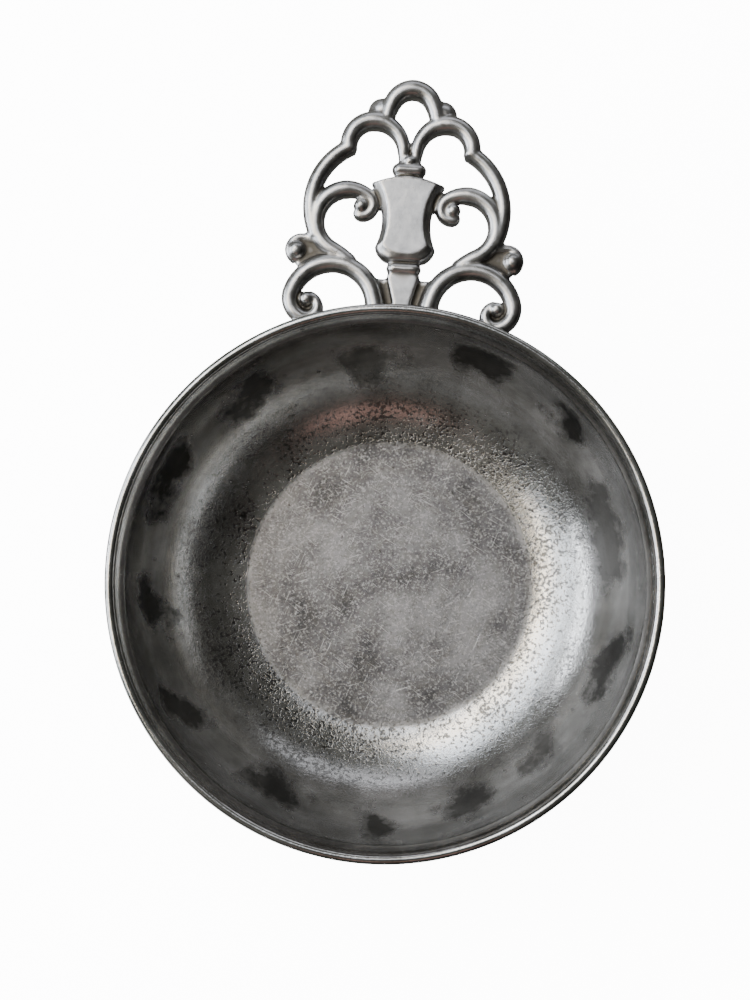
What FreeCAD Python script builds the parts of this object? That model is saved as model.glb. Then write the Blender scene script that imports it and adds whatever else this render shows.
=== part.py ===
import FreeCAD, Part
import math
import os
import Sketcher

# Pewter porringer: a turned bowl with one pierced, cast scrollwork handle soldered under its lip.
# Millimetres. +Z is up, the origin is the middle of the flat base, the handle points along +Y.

DIMENSIONS = [
    # alias, value, meaning
    ("rim_radius", 63.5, "outside of the lip"),
    ("bowl_height", 43.0, "table to the crown of the lip"),
    ("wall", 1.5, "bowl wall"),
    ("floor_thick", 1.8, "bowl floor"),
    ("lip_overhang", 1.37, "lip beyond the neck, on its underside"),
    ("lip_depth", 2.4, "crown of the lip to its underside"),
    ("neck_radius", 4.5, "hollow curve of the neck, outside"),
    ("neck_turn", 10.0, "degrees that the belly turns in before the neck"),
    ("neck_flare", 38.6, "degrees that the neck opens out under the lip"),
    ("belly_start", 6.5, "degrees at which the belly leaves the table"),
    ("handle_reach", 51.9, "lip to the tip of the handle"),
    ("handle_span", 54.8, "across the handle, outside to outside"),
    ("handle_drop", 0.35, "top of the handle below the lip's underside"),
    ("handle_thick", 4.0, "flat back to the crown of the rods"),
    ("rod_width", 4.0, "width of the scroll rods"),
    ("curl_width", 2.5, "width of the rods where they curl in"),
    ("crest_width", 1.5, "width of the ears' crest"),
    ("ball_radius", 1.75, "balls in the eyes of the curls"),
    ("web_thick", 2.2, "thin webs between the rods"),
    ("vase_rise", 0.5, "face of the vase above the rods"),
    ("vase_flank", 19.0, "degrees that the sides of the vase lean in"),
    ("bead_round", 1.0, "rounding of the cross beads"),
    ("bracket_width", 17.0, "bracket across, under the handle"),
    ("bracket_depth", 11.5, "bracket below the handle's back"),
    ("bracket_length", 8.0, "bracket out from the wall, at its top"),
    ("bracket_toe", 1.6, "bracket out from the wall, at its tip"),
    ("bracket_root", 8.8, "how far the bracket's root is drawn inside the lip's edge before trimming"),
    ("root_depth", 5.0, "how far the castings' roots are drawn inside the lip's edge before trimming"),
    ("solder_gap", 0.25, "solder film between the handle and the bowl"),
]

LIP_UNDER = "(dims.bowl_height - dims.lip_depth)"
NECK_RISE = "(dims.neck_radius * (sin(dims.neck_turn) + sin(dims.neck_flare)))"
BELLY_SHARE = "(1 + sin(dims.neck_turn) / cos(dims.belly_start))"
BELLY_HEIGHT = "((" + LIP_UNDER + " - " + NECK_RISE + ") / " + BELLY_SHARE + ")"
BELLY_RADIUS = "(" + BELLY_HEIGHT + " / cos(dims.belly_start))"
NECK_CENTRE = "(dims.rim_radius - dims.lip_overhang + dims.neck_radius * cos(dims.neck_flare))"
BELLY_CENTRE = "(" + NECK_CENTRE + " - (" + BELLY_RADIUS + " + dims.neck_radius) * cos(dims.neck_turn))"
WALL_OUT = "(" + BELLY_CENTRE + " + " + BELLY_RADIUS + ")"
NECK_CENTRE_Z = "(" + BELLY_HEIGHT + " + (" + BELLY_RADIUS + " + dims.neck_radius) * sin(dims.neck_turn))"
HANDLE_TOP = "(" + LIP_UNDER + " - dims.handle_drop)"
HANDLE_BACK = "(" + HANDLE_TOP + " - dims.handle_thick)"

# The ornament is drawn on its own grid for one half of the handle: across from the centre line,
# and out from the lip's edge. It is stretched to handle_span and handle_reach.
PATTERN_SPAN = 54.8
PATTERN_REACH = 51.9

# Each rod: start, heading in degrees, then the joins of its tangent arcs. The widths are a size
# for each arc: R is a rod, C a curl, M is between them and E is an ear's crest.
RODS = {
    "lower_scroll": (
        (5.43, -4.93), 88,
        [(6.79, 2.68), (14.62, 9.13), (25.47, 1.81), (22.6, -3.5), (19.3, -0.3), (21.28, 1.57)],
        "RRRMCC",
    ),
    "heart_scroll": (
        (12.15, 9.48), 39,
        [(16.48, 12.23), (13.97, 26.25), (8.76, 24.87), (7.75, 22.54), (10.75, 20.34), (11.44, 21.14)],
        "RRRMCC",
    ),
    "outer_bow": ((13.0, 36.25), -24, [(20.28, 15.43)], "R"),
    "upper_scroll": ((1.72, 32.05), 104, [(1.47, 35.63), (8.36, 42.2), (14.0, 35.1)], "RRR"),
    "hoop": ((0.0, 49.9), 0, [(4.47, 47.07), (5.77, 41.36)], "RR"),
    "ear_crest": ((18.54, 12.2), 47, [(22.8, 14.65), (26.53, 11.73), (25.14, 9.35)], "EEE"),
}
BALLS = {
    "heart_ball": (10.49, 22.53),
    "lower_ball": (21.78, 0.6),
    "ear_ball": (24.8, 11.9),
}
# Thin webs: leaf beside the hoop, fillings of the ear and of the lower curl. Across, out, radius.
WEB_DISCS = {
    "leaf_web": (6.9, 44.4, 3.2),
    "ear_web": (22.9, 11.3, 3.1),
    "ear_heel": (19.6, 10.6, 2.6),
    "volute_web": (21.6, -0.9, 2.5),
}
# Roots of the lower scrolls, which run under the lip to the wall. Across, out, radius.
ROOT_DISCS = {
    "curl_root": (22.4, -5.0, 2.2),
}
# Web behind the plinth: half width, and how far out it goes.
STEM_WEB = (6.0, 5.6)
# Vase, right half: across and out at its crown, shoulder, waist, belly, ankle and foot.
VASE_CROWN = 29.7
VASE_SHOULDER = (8.5, 27.8)
VASE_WAIST = (5.6, 18.7)
VASE_BELLY = (6.9, 13.2)
VASE_ANKLE = (6.0, 11.6)
VASE_FOOT = (4.05, 10.0)
# Cross beads: out to the middle, half length, half breadth. Knob: out, radius.
UPPER_BEAD = (31.1, 3.9, 1.45)
LOWER_BEAD = (8.5, 3.95, 1.4)
KNOB = (32.9, 2.0)
# Plinth: half width and place of its wide end and of its narrow end.
PLINTH_WIDE = (3.7, 7.1)
PLINTH_NARROW = (2.1, 1.2)
# Hollow of the bracket's front: shares of its length and of its depth.
BRACKET_HOLLOW = (0.38, 0.38)
# First guess of how much of the lip's depth its crown takes up.
CROWN_SHARE = 0.55
# Height within which an edge counts as lying in the top of a pad.
FLAT = 0.01
# Most by which the handle may fall short of its span and reach.
SHORTFALL = 0.5


def make_sheet(doc):
    """Spreadsheet of driving dimensions, one named cell each."""
    sheet = doc.addObject("Spreadsheet::Sheet", "dims")
    for row, (alias, value, meaning) in enumerate(DIMENSIONS, start=1):
        sheet.set("A%d" % row, alias)
        sheet.set("B%d" % row, str(value))
        sheet.set("C%d" % row, meaning)
        sheet.setAlias("B%d" % row, alias)
    doc.recompute()
    return sheet


def across(value):
    """Expression for a distance across the handle."""
    return "(%g * dims.handle_span / %g)" % (value, PATTERN_SPAN)


def outward(value):
    """Expression for a place along the handle, measured from the bowl's axis."""
    return "(dims.rim_radius + %g * dims.handle_reach / %g)" % (value, PATTERN_REACH)


def number(sheet, expression):
    """Present value of an expression."""
    result = sheet.evalExpression(expression)
    return float(getattr(result, "Value", result))


class Outline:
    """A body with one sketch, whose sizes are bound to the sheet as they are added."""

    def __init__(self, doc, sheet, label, plane):
        self.sheet = sheet
        self.body = doc.addObject("PartDesign::Body", label)
        origin = self.body.Origin.OriginFeatures
        self.sketch = self.body.newObject("Sketcher::SketchObject", label + "_sketch")
        self.sketch.AttachmentSupport = [next(f for f in origin if f.Role == plane)]
        self.sketch.MapMode = "FlatFace"

    def place(self, point):
        """First guess of a point given by two expressions."""
        return FreeCAD.Vector(number(self.sheet, point[0]), number(self.sheet, point[1]), 0)

    def line(self, start, end):
        return self.sketch.addGeometry(Part.LineSegment(start, end))

    def guide(self, start, end):
        return self.sketch.addGeometry(Part.LineSegment(start, end), True)

    def arc(self, centre, radius, first, last):
        circle = Part.Circle(centre, FreeCAD.Vector(0, 0, 1), radius)
        return self.sketch.addGeometry(Part.ArcOfCircle(circle, math.radians(first), math.radians(last)))

    def tie(self, kind, *refs):
        self.sketch.addConstraint(Sketcher.Constraint(kind, *refs))

    def size(self, kind, refs, expression):
        """Dimensional constraint driven by an expression."""
        value = number(self.sheet, expression)
        index = self.sketch.addConstraint(Sketcher.Constraint(kind, *refs, value))
        self.sketch.setExpression("Constraints[%d]" % index, expression)

    def pin(self, geometry, position, point):
        """Fix a point by its coordinates from the sketch's origin, either of which may be free."""
        for kind, expression in zip(("DistanceX", "DistanceY"), point):
            if expression is not None:
                self.size(kind, (-1, 1, geometry, position), expression)

    def trace(self, start, steps):
        """Closed outline through pinned points. A step is (end,) or, for an arc, (end, through)."""
        here = start
        pieces = []
        for step in steps:
            ends = self.place(here), self.place(step[0])
            if len(step) == 1:
                piece = self.line(*ends)
                heads = (1, 2)
            else:
                through = self.place(step[1])
                curve = Part.Arc(ends[0], through, ends[1])
                piece = self.sketch.addGeometry(curve)
                kept = self.sketch.getPoint(piece, 1)
                heads = (1, 2) if kept.distanceToPoint(ends[0]) < kept.distanceToPoint(ends[1]) else (2, 1)
                mark = self.sketch.addGeometry(Part.Point(through), True)
                self.pin(mark, 1, step[1])
                self.tie("PointOnObject", mark, 1, piece)
            self.pin(piece, heads[1], step[0])
            pieces.append((piece, heads))
            here = step[0]
        for (piece, heads), (after, after_heads) in zip(pieces, pieces[1:] + pieces[:1]):
            self.tie("Coincident", piece, heads[1], after, after_heads[0])

    def revolve(self):
        turned = self.body.newObject("PartDesign::Revolution", self.body.Name + "_turning")
        turned.Profile = self.sketch
        turned.ReferenceAxis = (self.sketch, ["V_Axis"])
        turned.Angle = 360
        return self.body

    def pad(self, thickness, both_sides=False):
        raised = self.body.newObject("PartDesign::Pad", self.body.Name + "_pad")
        raised.Profile = self.sketch
        raised.setExpression("Length", thickness)
        if both_sides:
            raised.SideType = "Symmetric"
        return raised

    def lift(self, height):
        self.body.setExpression("Placement.Base.z", height)
        return self.body


def outer_curve(outline, grow):
    """Base, belly and neck of the bowl's outside, grown outwards by an expression."""
    belly_radius = "(" + BELLY_RADIUS + " + " + grow + ")"
    neck_radius = "(dims.neck_radius - " + grow + ")"
    centre = outline.place((BELLY_CENTRE, BELLY_HEIGHT))
    radius = number(outline.sheet, belly_radius)
    turn = outline.sheet.neck_turn
    belly = outline.arc(centre, radius, -math.degrees(math.asin(centre.y / radius)), turn)
    small = number(outline.sheet, neck_radius)
    aim = FreeCAD.Vector(math.cos(math.radians(turn)), math.sin(math.radians(turn)), 0)
    neck_centre = centre + aim * (radius + small)
    neck = outline.arc(neck_centre, small, 180 - outline.sheet.neck_flare, 180 + turn)
    base = outline.line(FreeCAD.Vector(0, 0, 0), outline.sketch.getPoint(belly, 1))
    outline.tie("Coincident", base, 1, -1, 1)
    outline.tie("Coincident", base, 2, belly, 1)
    outline.tie("Tangent", belly, 2, neck, 2)
    outline.tie("PointOnObject", belly, 1, -1)
    outline.size("Radius", (belly,), belly_radius)
    outline.size("Radius", (neck,), neck_radius)
    outline.pin(belly, 3, (BELLY_CENTRE, BELLY_HEIGHT))
    outline.pin(neck, 3, (None, NECK_CENTRE_Z))
    outline.pin(neck, 1, (None, LIP_UNDER))
    return base, belly, neck


def make_bowl(doc, sheet):
    """Turned bowl: one section revolved, with a rolled lip on a slight neck."""
    outline = Outline(doc, sheet, "bowl", "XZ_Plane")
    sketch = outline.sketch
    base, belly, neck = outer_curve(outline, "0")
    turn = sheet.neck_turn
    wall = sheet.wall
    neck_centre = sketch.getPoint(neck, 3)
    belly_centre = sketch.getPoint(belly, 3)
    inner_neck_radius = sheet.neck_radius + wall
    inner_belly_radius = sketch.Geometry[belly].Radius - wall
    top = sheet.bowl_height
    crown_radius = CROWN_SHARE * sheet.lip_depth
    crown_centre = FreeCAD.Vector(sheet.rim_radius - crown_radius, top - crown_radius, 0)
    edge_radius = sheet.lip_depth - crown_radius
    edge_centre = FreeCAD.Vector(sheet.rim_radius - edge_radius, crown_centre.y, 0)
    rise = math.degrees(math.asin((crown_centre.y - neck_centre.y) / inner_neck_radius))
    dip = math.degrees(math.asin((belly_centre.y - sheet.floor_thick) / inner_belly_radius))

    edge = outline.arc(edge_centre, edge_radius, -90, 0)
    crown = outline.arc(crown_centre, crown_radius, 0, 180)
    inner_neck = outline.arc(neck_centre, inner_neck_radius, 180 - rise, 180 + turn)
    inner_belly = outline.arc(belly_centre, inner_belly_radius, -dip, turn)
    under = outline.line(sketch.getPoint(neck, 1), sketch.getPoint(edge, 1))
    floor = outline.line(FreeCAD.Vector(0, sheet.floor_thick, 0), sketch.getPoint(inner_belly, 1))
    middle = outline.line(FreeCAD.Vector(0, 0, 0), FreeCAD.Vector(0, sheet.floor_thick, 0))
    gauge = outline.guide(crown_centre, FreeCAD.Vector(crown_centre.x, top, 0))

    outline.tie("Coincident", under, 1, neck, 1)
    outline.tie("Horizontal", under)
    outline.tie("Tangent", under, 2, edge, 1)
    outline.tie("Tangent", edge, 2, crown, 1)
    outline.tie("Horizontal", crown, 1, crown, 3)
    outline.tie("Horizontal", crown, 2, crown, 3)
    outline.pin(crown, 1, ("dims.rim_radius", None))
    outline.tie("Coincident", gauge, 1, crown, 3)
    outline.tie("Vertical", gauge)
    outline.tie("PointOnObject", gauge, 2, crown)
    outline.pin(gauge, 2, (None, "dims.bowl_height"))
    outline.tie("Coincident", crown, 2, inner_neck, 1)
    outline.tie("Coincident", inner_neck, 3, neck, 3)
    outline.size("Radius", (inner_neck,), "dims.neck_radius + dims.wall")
    outline.tie("Coincident", inner_belly, 3, belly, 3)
    outline.tie("Tangent", inner_neck, 2, inner_belly, 2)
    outline.pin(inner_belly, 1, (None, "dims.floor_thick"))
    outline.tie("Coincident", floor, 2, inner_belly, 1)
    outline.tie("Horizontal", floor)
    outline.tie("Coincident", floor, 1, middle, 2)
    outline.tie("Coincident", middle, 1, -1, 1)
    outline.tie("Vertical", middle)
    return outline.revolve()


def make_wall_blank(doc, sheet, label, grow):
    """Filled outside of the bowl, grown by an expression, that trims what is soldered to it."""
    outline = Outline(doc, sheet, label, "XZ_Plane")
    base, belly, neck = outer_curve(outline, grow)
    shoulder = outline.sketch.getPoint(neck, 1)
    top = sheet.bowl_height
    side = outline.line(shoulder, FreeCAD.Vector(shoulder.x, top, 0))
    lid = outline.line(FreeCAD.Vector(shoulder.x, top, 0), FreeCAD.Vector(0, top, 0))
    middle = outline.line(FreeCAD.Vector(0, top, 0), FreeCAD.Vector(0, 0, 0))
    outline.tie("Coincident", side, 1, neck, 1)
    outline.tie("Vertical", side)
    outline.tie("Coincident", side, 2, lid, 1)
    outline.tie("Horizontal", lid)
    outline.tie("Coincident", lid, 2, middle, 1)
    outline.tie("Vertical", middle)
    outline.tie("Coincident", middle, 2, -1, 1)
    outline.pin(lid, 2, (None, "dims.bowl_height"))
    return outline.revolve()


def half_plane(edge, outwards, up, size):
    """Upright square on one side of an axis, which stops a tight curl's section at its centre."""
    side = FreeCAD.Vector(outwards).normalize() * size
    corners = [edge, edge + side, edge + side + up * size, edge + up * size, edge]
    return Part.Face(Part.makePolygon(corners))


def rod_piece(sheet, start, end, heading, width):
    """One tangent arc of a rod, flat backed and half round on top, and its end heading."""
    back = number(sheet, HANDLE_BACK)
    side = sheet.handle_thick - sheet.rod_width / 2
    chord = end - start
    half_turn = math.remainder(math.atan2(chord.y, chord.x) - heading, 2 * math.pi)
    radius = chord.Length / (2 * math.sin(half_turn))
    left = FreeCAD.Vector(-math.sin(heading), math.cos(heading), 0)
    up = FreeCAD.Vector(0, 0, 1)
    low = start + up * back
    corners = [low - left * (width / 2), low + left * (width / 2)]
    shoulders = [corner + up * side for corner in corners]
    crown = low + up * (side + width / 2)
    outline = Part.Wire([
        Part.LineSegment(shoulders[0], corners[0]).toShape(),
        Part.LineSegment(corners[0], corners[1]).toShape(),
        Part.LineSegment(corners[1], shoulders[1]).toShape(),
        Part.Arc(shoulders[1], crown, shoulders[0]).toShape(),
    ])
    section = Part.Face(outline)
    centre = start + left * radius
    if abs(radius) < width / 2:
        section = section.common(half_plane(centre, start - centre, up, back + sheet.handle_thick + width))
    axis = up if half_turn > 0 else -up
    solid = section.revolve(centre, axis, math.degrees(abs(2 * half_turn)))
    return solid, heading + 2 * half_turn


def make_rod(doc, sheet, label):
    """One scroll rod: a run of tangent arcs through its joins."""
    start, heading, joins, sizes = RODS[label]
    stops = [
        FreeCAD.Vector(number(sheet, across(x)), number(sheet, outward(y)), 0)
        for x, y in [start] + joins
    ]
    curl = sheet.curl_width
    widths = {"R": sheet.rod_width, "M": (sheet.rod_width + curl) / 2, "C": curl, "E": sheet.crest_width}
    heading = math.radians(heading)
    pieces = []
    for here, there, size in zip(stops, stops[1:], sizes):
        solid, heading = rod_piece(sheet, here, there, heading, widths[size])
        pieces.append(solid)
    rod = doc.addObject("Part::Feature", label)
    rod.Shape = pieces[0].multiFuse(pieces[1:]).removeSplitter()
    return rod


def make_ball(doc, label, x, y, radius, height):
    ball = doc.addObject("Part::Sphere", label)
    ball.setExpression("Radius", radius)
    ball.setExpression("Placement.Base.x", across(x))
    ball.setExpression("Placement.Base.y", outward(y))
    ball.setExpression("Placement.Base.z", HANDLE_BACK + " + " + height)
    return ball


def make_disc(doc, label, x, y, radius, thickness):
    disc = doc.addObject("Part::Cylinder", label)
    disc.setExpression("Radius", across(radius))
    disc.setExpression("Height", thickness)
    disc.setExpression("Placement.Base.x", across(x))
    disc.setExpression("Placement.Base.y", outward(y))
    disc.setExpression("Placement.Base.z", HANDLE_BACK)
    return disc


def make_bead(doc, sheet, label, y, half_length, half_breadth):
    """Cross bead of the vase's stem: a long slot shape, rounded over."""
    outline = Outline(doc, sheet, label, "XY_Plane")
    inner = half_length - half_breadth
    right, left = across(inner), across(-inner)
    high, low = outward(y + half_breadth), outward(y - half_breadth)
    outline.trace((left, low), [
        ((right, low),),
        ((right, high), (across(half_length), outward(y))),
        ((left, high),),
        ((left, low), (across(-half_length), outward(y))),
    ])
    raised = outline.pad("dims.handle_thick")
    doc.recompute()
    rounded = outline.body.newObject("PartDesign::Fillet", label + "_round")
    top = sheet.handle_thick
    edges = ["Edge%d" % (i + 1) for i, e in enumerate(raised.Shape.Edges)
             if abs(e.BoundBox.ZMin - top) < FLAT and e.BoundBox.ZLength < FLAT]
    rounded.Base = (raised, edges)
    rounded.setExpression("Radius", "dims.bead_round")
    return outline.lift(HANDLE_BACK)


def make_vase(doc, sheet):
    """Vase on the handle's centre line: a flat face, bevelled round its edge."""
    outline = Outline(doc, sheet, "vase", "XY_Plane")

    def point(spot, side):
        return across(side * spot[0]), outward(spot[1])

    outline.trace(point(VASE_SHOULDER, -1), [
        (point(VASE_BELLY, -1), point(VASE_WAIST, -1)),
        (point(VASE_FOOT, -1), point(VASE_ANKLE, -1)),
        (point(VASE_FOOT, 1),),
        (point(VASE_BELLY, 1), point(VASE_ANKLE, 1)),
        (point(VASE_SHOULDER, 1), point(VASE_WAIST, 1)),
        (point(VASE_SHOULDER, -1), (across(0), outward(VASE_CROWN))),
    ])
    raised = outline.pad("dims.handle_thick + dims.vase_rise")
    raised.setExpression("TaperAngle", "-dims.vase_flank")
    return outline.lift(HANDLE_BACK)


def make_plinth(doc, sheet):
    """Tapered plinth between the vase's lower bead and the bowl, running into the wall."""
    outline = Outline(doc, sheet, "plinth", "XY_Plane")
    (wide, wide_out), (narrow, narrow_out) = PLINTH_WIDE, PLINTH_NARROW
    root = "(dims.rim_radius - dims.root_depth)"
    outline.trace((across(-wide), outward(wide_out)), [
        ((across(-narrow), outward(narrow_out)),),
        ((across(-narrow), root),),
        ((across(narrow), root),),
        ((across(narrow), outward(narrow_out)),),
        ((across(wide), outward(wide_out)),),
        ((across(-wide), outward(wide_out)),),
    ])
    outline.pad("dims.handle_thick")
    return outline.lift(HANDLE_BACK)


def make_stem_web(doc, sheet):
    """Thin web behind the plinth, out to the lower scrolls on each side."""
    outline = Outline(doc, sheet, "stem_web", "XY_Plane")
    root = "(dims.rim_radius - dims.root_depth)"
    (wide, wide_out) = STEM_WEB
    outline.trace((across(-wide), root), [
        ((across(wide), root),),
        ((across(wide), outward(wide_out)),),
        ((across(-wide), outward(wide_out)),),
        ((across(-wide), root),),
    ])
    outline.pad("dims.web_thick")
    return outline.lift(HANDLE_BACK)


def make_bracket(doc, sheet):
    """Bracket under the handle, down the bowl's wall, cast with the handle."""
    outline = Outline(doc, sheet, "bracket", "YZ_Plane")
    root = "(dims.rim_radius - dims.bracket_root)"
    top = "(" + HANDLE_BACK + " + dims.web_thick)"
    back = HANDLE_BACK
    tip = "(" + HANDLE_BACK + " - dims.bracket_depth)"
    out_far = "(" + WALL_OUT + " + dims.bracket_length)"
    out_near = "(" + WALL_OUT + " + dims.bracket_toe)"
    length_share, depth_share = BRACKET_HOLLOW
    hollow = "(" + WALL_OUT + " + dims.bracket_length * %g)" % length_share
    half_down = "(" + HANDLE_BACK + " - dims.bracket_depth * %g)" % depth_share
    outline.trace((root, tip), [
        ((out_near, tip),),
        ((out_far, back), (hollow, half_down)),
        ((out_far, top),),
        ((root, top),),
        ((root, tip),),
    ])
    outline.pad("dims.bracket_width", both_sides=True)
    return outline.body


def fuse(doc, label, members):
    joined = doc.addObject("Part::MultiFuse", label)
    joined.Shapes = members
    joined.Refine = True
    return joined


def make_half_space(doc):
    """Block over the right half of the handle, so that the two halves meet on the centre line."""
    block = doc.addObject("Part::Box", "half_space")
    block.setExpression("Length", "dims.handle_span")
    block.setExpression("Width", "dims.rim_radius + 2 * dims.handle_reach")
    block.setExpression("Height", "2 * dims.bowl_height")
    return block


def make_casting(doc, sheet):
    """The whole handle before its roots are trimmed to the bowl."""
    half = [make_rod(doc, sheet, label) for label in RODS]
    for label, (x, y) in BALLS.items():
        half.append(make_ball(doc, label, x, y, "dims.ball_radius", "dims.ball_radius"))
    for label, (x, y, radius) in WEB_DISCS.items():
        half.append(make_disc(doc, label, x, y, radius, "dims.web_thick"))
    for label, (x, y, radius) in ROOT_DISCS.items():
        half.append(make_disc(doc, label, x, y, radius, "dims.handle_thick"))
    drawn = fuse(doc, "drawn_scrollwork", half)
    right = doc.addObject("Part::MultiCommon", "right_scrollwork")
    right.Shapes = [drawn, make_half_space(doc)]
    left = doc.addObject("Part::Mirroring", "left_scrollwork")
    left.Source = right
    left.Normal = (1, 0, 0)
    centre = [
        make_vase(doc, sheet),
        make_bead(doc, sheet, "upper_bead", *UPPER_BEAD),
        make_bead(doc, sheet, "lower_bead", *LOWER_BEAD),
        make_ball(doc, "knob", 0, KNOB[0], across(KNOB[1]), across(KNOB[1])),
        make_plinth(doc, sheet),
        make_stem_web(doc, sheet),
        make_bracket(doc, sheet),
    ]
    return fuse(doc, "casting", [right, left] + centre)


def cut(doc, label, base, tool):
    result = doc.addObject("Part::Cut", label)
    result.Base = base
    result.Tool = tool
    return result


def check(doc, nodes):
    """Stop if any object failed, or a sub-part's shape is missing or bad."""
    for item in doc.Objects:
        if "Invalid" in item.State or "Error" in item.State:
            raise RuntimeError("%s failed: %s" % (item.Label, item.State))
    for node in nodes:
        if node.Shape.isNull() or not node.Shape.isValid() or not node.Shape.Solids:
            raise RuntimeError("%s has no valid solid" % node.Label)


def check_extent(sheet, handle):
    """Stop if a piece of the casting was lost in fusing, which leaves the handle short or narrow."""
    box = handle.Shape.optimalBoundingBox()
    short = sheet.rim_radius + sheet.handle_reach - box.YMax
    narrow = sheet.handle_span - box.XLength
    if max(short, narrow) > SHORTFALL:
        raise RuntimeError("handle falls short by %.2f along and %.2f across" % (short, narrow))


def main():
    doc = FreeCAD.newDocument("porringer")
    sheet = make_sheet(doc)
    bowl = make_bowl(doc, sheet)
    wall_face = make_wall_blank(doc, sheet, "wall_face", "0")
    solder_face = make_wall_blank(doc, sheet, "solder_face", "dims.solder_gap")
    casting = make_casting(doc, sheet)
    handle = cut(doc, "handle", casting, solder_face)
    filler = doc.addObject("Part::MultiCommon", "filler")
    filler.Shapes = [casting, solder_face]
    solder_joint = cut(doc, "solder_joint", filler, wall_face)
    doc.recompute()
    nodes = [bowl, handle, solder_joint]
    check(doc, nodes)
    check_extent(sheet, handle)
    os.makedirs("parts", exist_ok=True)
    for node in nodes:
        node.Shape.exportStep("parts/%s.step" % node.Label)
        box = node.Shape.optimalBoundingBox()
        print("%-14s solids %d  volume %8.1f  X %.2f..%.2f  Y %.2f..%.2f  Z %.2f..%.2f" % (
            node.Label, len(node.Shape.Solids), node.Shape.Volume,
            box.XMin, box.XMax, box.YMin, box.YMax, box.ZMin, box.ZMax))


main()
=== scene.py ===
import math

import bpy
import numpy as np
from mathutils import Matrix, Vector


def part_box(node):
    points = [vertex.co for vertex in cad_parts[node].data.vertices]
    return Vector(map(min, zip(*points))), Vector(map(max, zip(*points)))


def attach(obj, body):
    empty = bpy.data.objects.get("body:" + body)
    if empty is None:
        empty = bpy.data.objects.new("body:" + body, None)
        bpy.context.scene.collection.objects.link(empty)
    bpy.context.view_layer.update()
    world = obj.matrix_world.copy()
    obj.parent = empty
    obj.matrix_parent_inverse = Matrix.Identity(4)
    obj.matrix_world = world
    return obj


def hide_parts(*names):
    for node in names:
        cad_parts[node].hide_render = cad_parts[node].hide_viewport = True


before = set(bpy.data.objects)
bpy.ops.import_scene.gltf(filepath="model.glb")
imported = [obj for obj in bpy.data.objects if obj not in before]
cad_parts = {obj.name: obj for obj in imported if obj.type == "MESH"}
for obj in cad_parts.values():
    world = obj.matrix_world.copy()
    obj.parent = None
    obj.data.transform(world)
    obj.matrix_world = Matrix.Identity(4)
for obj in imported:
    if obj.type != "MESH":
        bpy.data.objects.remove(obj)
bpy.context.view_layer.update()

MM = 0.001

# Bowl's section, in millimetres: the same values as the design's.
RIM_RADIUS = (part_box("bowl")[1][0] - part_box("bowl")[0][0]) / 2 / MM
BOWL_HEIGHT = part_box("bowl")[1][2] / MM
WALL = 1.5
FLOOR_THICK = 1.8
LIP_OVERHANG = 1.37
LIP_DEPTH = 2.4
NECK_RADIUS = 4.5
NECK_TURN = math.radians(10.0)
NECK_FLARE = math.radians(38.6)
BELLY_START = math.radians(6.5)
STEPS_AROUND = 336
BLOTS = 13

# Handle, in millimetres. Its ornament is drawn for this span, and this reach from the lip.
PATTERN_SPAN = 54.8
PATTERN_REACH = 51.9
SPAN_SHARE = (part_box("handle")[1][0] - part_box("handle")[0][0]) / MM / PATTERN_SPAN
REACH_SHARE = (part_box("handle")[1][1] / MM - RIM_RADIUS) / PATTERN_REACH
HANDLE_DROP = 0.35
HANDLE_THICK = 4.0
WEB_THICK = 2.2
VASE_RISE = 0.5
BRACKET_WIDTH = 17.0
BRACKET_DEPTH = 11.5
BRACKET_LENGTH = 8.0
BRACKET_TOE = 1.6
# Hollow of the bracket's front: share of its length and of its depth.
BRACKET_HOLLOW = 0.38
SOLDER_GAP = 0.25
# How far the solder stands proud of the roots that it runs round.
SOLDER_LAP = 0.35
# How far the roots are drawn inside the wall before they are pressed back to it.
ROOT_DEPTH = 3.0
# Height of the rods' straight sides, before they round over.
ROD_SIDE = HANDLE_THICK - 1.9
# Fineness of the skin that fuses the casting, and of the solder's.
VOXEL = 0.36
SOLDER_VOXEL = 0.3

LIP_UNDER = BOWL_HEIGHT - LIP_DEPTH
HANDLE_TOP = LIP_UNDER - HANDLE_DROP
HANDLE_BACK = HANDLE_TOP - HANDLE_THICK

# One half of the scrollwork, on a grid across from the centre line and out from the lip.
# Each rod: start, heading in degrees, then for each of its tangent arcs the join and the width there.
RODS = {
    "lower_scroll": (
        (5.43, -4.93), 88, 4.5,
        [(6.79, 2.68, 4.3), (14.62, 9.13, 4.1), (25.47, 1.81, 3.9), (22.6, -3.5, 3.3),
         (19.3, -0.3, 2.5), (21.28, 1.57, 1.9)],
    ),
    "heart_scroll": (
        (12.15, 9.48), 39, 3.4,
        [(16.48, 12.23, 3.8), (13.97, 26.25, 3.9), (8.76, 24.87, 3.0), (7.75, 22.54, 2.6),
         (10.75, 20.34, 2.2), (11.44, 21.14, 1.8)],
    ),
    "outer_bow": ((13.0, 36.25), -24, 3.6, [(20.28, 15.43, 3.7)]),
    "upper_scroll": ((1.6, 32.3), 98, 1.7, [(1.5, 35.8, 3.0), (8.36, 42.2, 4.2), (14.0, 35.1, 3.8)]),
    "hoop": ((0.0, 49.75), 0, 4.4, [(4.47, 47.07, 4.0), (5.77, 41.36, 3.2)]),
    "ear_crest": ((18.54, 12.2), 47, 1.5, [(22.8, 14.65, 1.7), (26.53, 11.73, 1.7), (25.14, 9.35, 1.4)]),
}
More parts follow.
